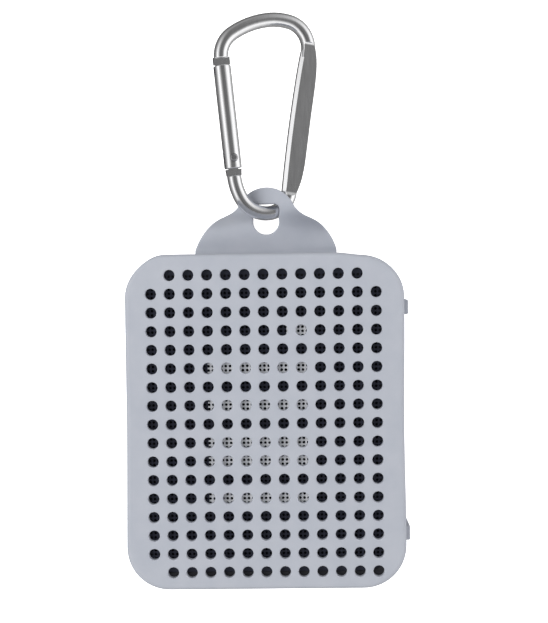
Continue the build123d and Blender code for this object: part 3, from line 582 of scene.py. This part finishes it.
def printed_grille():
    """Near black coated sheet with a generic printed mark: rows of level bars."""
    mat, tree, shader = material("grille_printed")
    coords = object_coords(tree)
    split = tree.nodes.new("ShaderNodeSeparateXYZ")
    tree.links.new(coords, split.inputs["Vector"])
    x, y = split.outputs["X"], split.outputs["Y"]
    marks = None
    for row, low_x, half in BARS:
        centre_y = HOLES_Y + ((ROWS - 1) / 2 - row) * PITCH_Y
        in_y = math_node(
            tree,
            "LESS_THAN",
            math_node(tree, "ABSOLUTE", math_node(tree, "SUBTRACT", y, centre_y * MM)),
            half * MM,
        )
        middle, reach = (low_x + BAR_END) / 2 * MM, (BAR_END - low_x) / 2 * MM
        in_x = math_node(
            tree,
            "LESS_THAN",
            math_node(tree, "ABSOLUTE", math_node(tree, "SUBTRACT", x, middle)),
            reach,
        )
        inside = math_node(tree, "MULTIPLY", in_y, in_x)
        marks = inside if marks is None else math_node(tree, "MAXIMUM", marks, inside)
    fine = noise(tree, coords, 4000.0, 4.0, 0.6)
    coat_colour = ramp(tree, fine, [(0.3, (0.022, 0.025, 0.042)), (0.7, (0.040, 0.043, 0.066))])
    ink = ramp(tree, fine, [(0.3, (0.90, 0.91, 0.93)), (0.7, (0.97, 0.97, 0.98))])
    mix = tree.nodes.new("ShaderNodeMix")
    mix.data_type = "RGBA"
    tree.links.new(marks, mix.inputs["Factor"])
    tree.links.new(coat_colour, mix.inputs["A"])
    tree.links.new(ink, mix.inputs["B"])
    tree.links.new(mix.outputs["Result"], shader.inputs["Base Color"])
    tree.links.new(spread(tree, fine, 0.42, 0.6), shader.inputs["Roughness"])
    bump(tree, shader, fine, 0.3, 0.01 * MM)
    return mat


def woven(name, dark, light, threads):
    mat, tree, shader = material(name)
    coords = object_coords(tree)
    wave = tree.nodes.new("ShaderNodeTexWave")
    wave.inputs["Scale"].default_value = threads
    wave.bands_direction = "X"
    tree.links.new(coords, wave.inputs["Vector"])
    weft = tree.nodes.new("ShaderNodeTexWave")
    weft.inputs["Scale"].default_value = threads
    weft.bands_direction = "Y"
    tree.links.new(coords, weft.inputs["Vector"])
    both = math_node(tree, "MULTIPLY", wave.outputs["Fac"], weft.outputs["Fac"])
    tree.links.new(ramp(tree, both, [(0.1, dark), (0.8, light)]), shader.inputs["Base Color"])
    shader.inputs["Roughness"].default_value = 0.9
    shader.inputs["Sheen Weight"].default_value = 0.2
    bump(tree, shader, both, 0.6, 0.05 * MM)
    return mat


def clear_plastic():
    mat, tree, shader = material("clear_pipe")
    coords = object_coords(tree)
    fine = noise(tree, coords, 1500.0)
    tree.links.new(
        ramp(tree, fine, [(0.3, (0.80, 0.86, 0.90)), (0.7, (0.92, 0.95, 0.97))]),
        shader.inputs["Base Color"],
    )
    tree.links.new(spread(tree, fine, 0.05, 0.16), shader.inputs["Roughness"])
    shader.inputs["Transmission Weight"].default_value = 0.8
    shader.inputs["IOR"].default_value = 1.49
    return mat


FINISH = {
    "silicone": silicone,
    "aluminium_polished": aluminium,
    "grille_black": printed_grille(),
    "steel_zinc": grained("steel_zinc", (0.45, 0.45, 0.46), (0.66, 0.66, 0.67), 0.28, 1.0, 1400),
    "housing_black": grained(
        "housing_black", (0.018, 0.018, 0.021), (0.03, 0.03, 0.034), 0.55, 0.0, 5200, 0.02
    ),
    "housing_inner": grained(
        "housing_inner", (0.02, 0.02, 0.024), (0.036, 0.036, 0.04), 0.6, 0.0, 3000, 0.01
    ),
    "cloth_black": woven("cloth_black", (0.006, 0.006, 0.009), (0.022, 0.024, 0.032), 900.0),
    "rubber_black": grained(
        "rubber_black", (0.016, 0.016, 0.018), (0.03, 0.03, 0.032), 0.7, 0.0, 2600, 0.012
    ),
    "foam_black": grained("foam_black", (0.012, 0.012, 0.013), (0.035, 0.035, 0.037), 0.9, 0.0, 3800, 0.08),
    "paper_cone": grained("paper_cone", (0.018, 0.018, 0.018), (0.045, 0.043, 0.04), 0.85, 0.0, 2200, 0.05),
    "cloth_tan": woven("cloth_tan", (0.28, 0.18, 0.08), (0.5, 0.36, 0.18), 1400.0),
    "ferrite": grained("ferrite", (0.035, 0.035, 0.038), (0.08, 0.08, 0.085), 0.62, 0.2, 2400, 0.02),
    "steel_plated": grained("steel_plated", (0.42, 0.41, 0.36), (0.6, 0.58, 0.5), 0.34, 1.0, 1200),
    "copper_coil": woven("copper_coil", (0.35, 0.12, 0.05), (0.72, 0.33, 0.16), 2400.0),
    "board_green": grained(
        "board_green", (0.008, 0.07, 0.03), (0.02, 0.13, 0.055), 0.34, 0.0, 1800, 0.01, 0.3
    ),
    "chip_black": grained("chip_black", (0.015, 0.015, 0.016), (0.03, 0.03, 0.031), 0.5, 0.0, 4200),
    "can_tin": grained("can_tin", (0.5, 0.5, 0.5), (0.68, 0.68, 0.67), 0.3, 1.0, 1600),
    "port_steel": grained("port_steel", (0.48, 0.48, 0.49), (0.66, 0.66, 0.67), 0.24, 1.0, 1900),
    "jack_black": grained("jack_black", (0.014, 0.014, 0.015), (0.028, 0.028, 0.03), 0.3, 0.0, 2600),
    "key_black": grained("key_black", (0.03, 0.03, 0.034), (0.055, 0.055, 0.06), 0.5, 0.0, 3600, 0.01),
    "clear_pipe": clear_plastic(),
    "led_white": grained("led_white", (0.75, 0.7, 0.4), (0.9, 0.87, 0.62), 0.3, 0.0, 1800),
    "battery_wrap": grained(
        "battery_wrap", (0.02, 0.06, 0.16), (0.04, 0.1, 0.24), 0.28, 0.0, 900, 0.02, 0.2
    ),
    "lead_red_black": grained("lead_red_black", (0.25, 0.01, 0.01), (0.4, 0.03, 0.025), 0.45, 0.0, 1500),
    "ribbon_film": grained("ribbon_film", (0.45, 0.2, 0.03), (0.62, 0.34, 0.08), 0.3, 0.0, 1200, 0.01, 0.3),
}

slot_of = {row["node"]: row["material_slot"] for row in frame["record"]["subparts"]}
for node, obj in NODES.items():
    obj.data.materials.clear()
    obj.data.materials.append(FINISH[slot_of[node]])
for obj, slot in ((sleeve, "silicone"), (tab, "silicone"), (grille, "grille_black")):
    obj.data.materials.clear()
    obj.data.materials.append(FINISH[slot])

# ---------------------------------------------------------------- floor, light, camera
bpy.ops.mesh.primitive_plane_add(size=3.0, location=(0, 0.03, -0.0002))
floor = bpy.context.object
floor.name = "floor"
floor_mat, floor_tree, floor_shader = material("floor_pale")
floor_shader.inputs["Base Color"].default_value = (0.93, 0.93, 0.93, 1)
floor_shader.inputs["Roughness"].default_value = 0.9
floor_shader.inputs["Emission Color"].default_value = (1, 1, 1, 1)
floor_shader.inputs["Emission Strength"].default_value = 1.0
floor.data.materials.append(floor_mat)
floor.visible_glossy = False
floor.visible_diffuse = False


def area_light(name, place, target, size, energy):
    data = bpy.data.lights.new(name, "AREA")
    data.shape = "RECTANGLE"
    data.size, data.size_y = size
    data.energy = energy
    lamp = bpy.data.objects.new(name, data)
    bpy.context.scene.collection.objects.link(lamp)
    lamp.location = place
    way = Vector(target) - Vector(place)
    lamp.rotation_euler = way.to_track_quat("-Z", "Y").to_euler()
    lamp.visible_glossy = False
    return lamp


area_light("soft_left", (-0.75, 0.1, 0.6), (0, 0.03, 0), (0.6, 1.2), 6.2)
area_light("soft_right", (0.8, 0.05, 0.55), (0, 0.03, 0), (0.5, 1.2), 2.6)
area_light("soft_top", (0.0, 0.9, 0.75), (0, 0.03, 0), (1.0, 0.5), 3.0)


def grey(level):
    return (level, level, level)


def studio_world():
    """Soft panels round the table: bright low on the right, higher on the left and the near
    side, dark overhead and on the far side. Stops are turns from the zenith, 1 = straight down."""
    world = bpy.data.worlds.new("studio")
    world.use_nodes = True
    tree = world.node_tree
    coords = tree.nodes.new("ShaderNodeTexCoord")
    split = tree.nodes.new("ShaderNodeSeparateXYZ")
    tree.links.new(coords.outputs["Generated"], split.inputs["Vector"])
    x, y, z = (split.outputs[axis] for axis in "XYZ")
    turn = math_node(tree, "DIVIDE", math_node(tree, "ARCCOSINE", z), math.pi)
    across = math_node(tree, "MULTIPLY", x, x)
    along = math_node(tree, "MULTIPLY", y, y)
    flat = math_node(tree, "ADD", math_node(tree, "ADD", across, along), 0.0001)
    sides = (
        (x, across, "GREATER_THAN", RIGHT_PANEL),
        (x, across, "LESS_THAN", LEFT_PANEL),
        (y, along, "GREATER_THAN", FAR_PANEL),
        (y, along, "LESS_THAN", NEAR_PANEL),
    )
    total = None
    for axis, square, sense, stops in sides:
        facing = math_node(tree, sense, axis, 0.0)
        share = math_node(tree, "DIVIDE", math_node(tree, "MULTIPLY", square, facing), flat)
        level = ramp(tree, turn, [(place / 180, grey(value)) for place, value in stops])
        part = math_node(tree, "MULTIPLY", share, level)
        total = part if total is None else math_node(tree, "ADD", total, part)
    background = tree.nodes["Background"]
    tree.links.new(total, background.inputs["Color"])
    background.inputs["Strength"].default_value = 1.0
    return world


# degrees from the zenith and brightness there
RIGHT_PANEL = ((0, 0.15), (34, 0.17), (44, 0.5), (58, 1.12), (92, 1.25), (115, 0.6), (150, 0.25))
LEFT_PANEL = ((0, 0.15), (15, 0.2), (28, 0.5), (42, 1.12), (58, 1.12), (75, 0.5), (95, 0.2), (140, 0.12))
FAR_PANEL = ((0, 0.12), (50, 0.17), (84, 0.32), (110, 0.14))
NEAR_PANEL = ((0, 0.12), (18, 0.1), (30, 0.24), (43, 0.8), (58, 1.1), (75, 0.7), (95, 0.4), (120, 0.28))
bpy.context.scene.world = studio_world()

# the camera stands over the front, a little towards the tab, and is turned slightly
CAMERA_PLACE = Vector((8.4, 43.2, 390.1)) * MM
CAMERA_TURN = Vector((-0.0386, 0.0155, -0.0127))
FOCAL_PIXELS = 1338.3
camera_data = bpy.data.cameras.new("camera")
camera_data.sensor_width = 36.0
camera_data.lens = FOCAL_PIXELS * 36.0 / 623.0
camera_data.clip_start = 0.01
camera = bpy.data.objects.new("camera", camera_data)
bpy.context.scene.collection.objects.link(camera)
camera.matrix_world = Matrix.Translation(CAMERA_PLACE) @ Matrix.Rotation(
    CAMERA_TURN.length, 4, CAMERA_TURN.normalized()
)
bpy.context.scene.camera = camera
bpy.context.scene.view_settings.view_transform = "Standard"
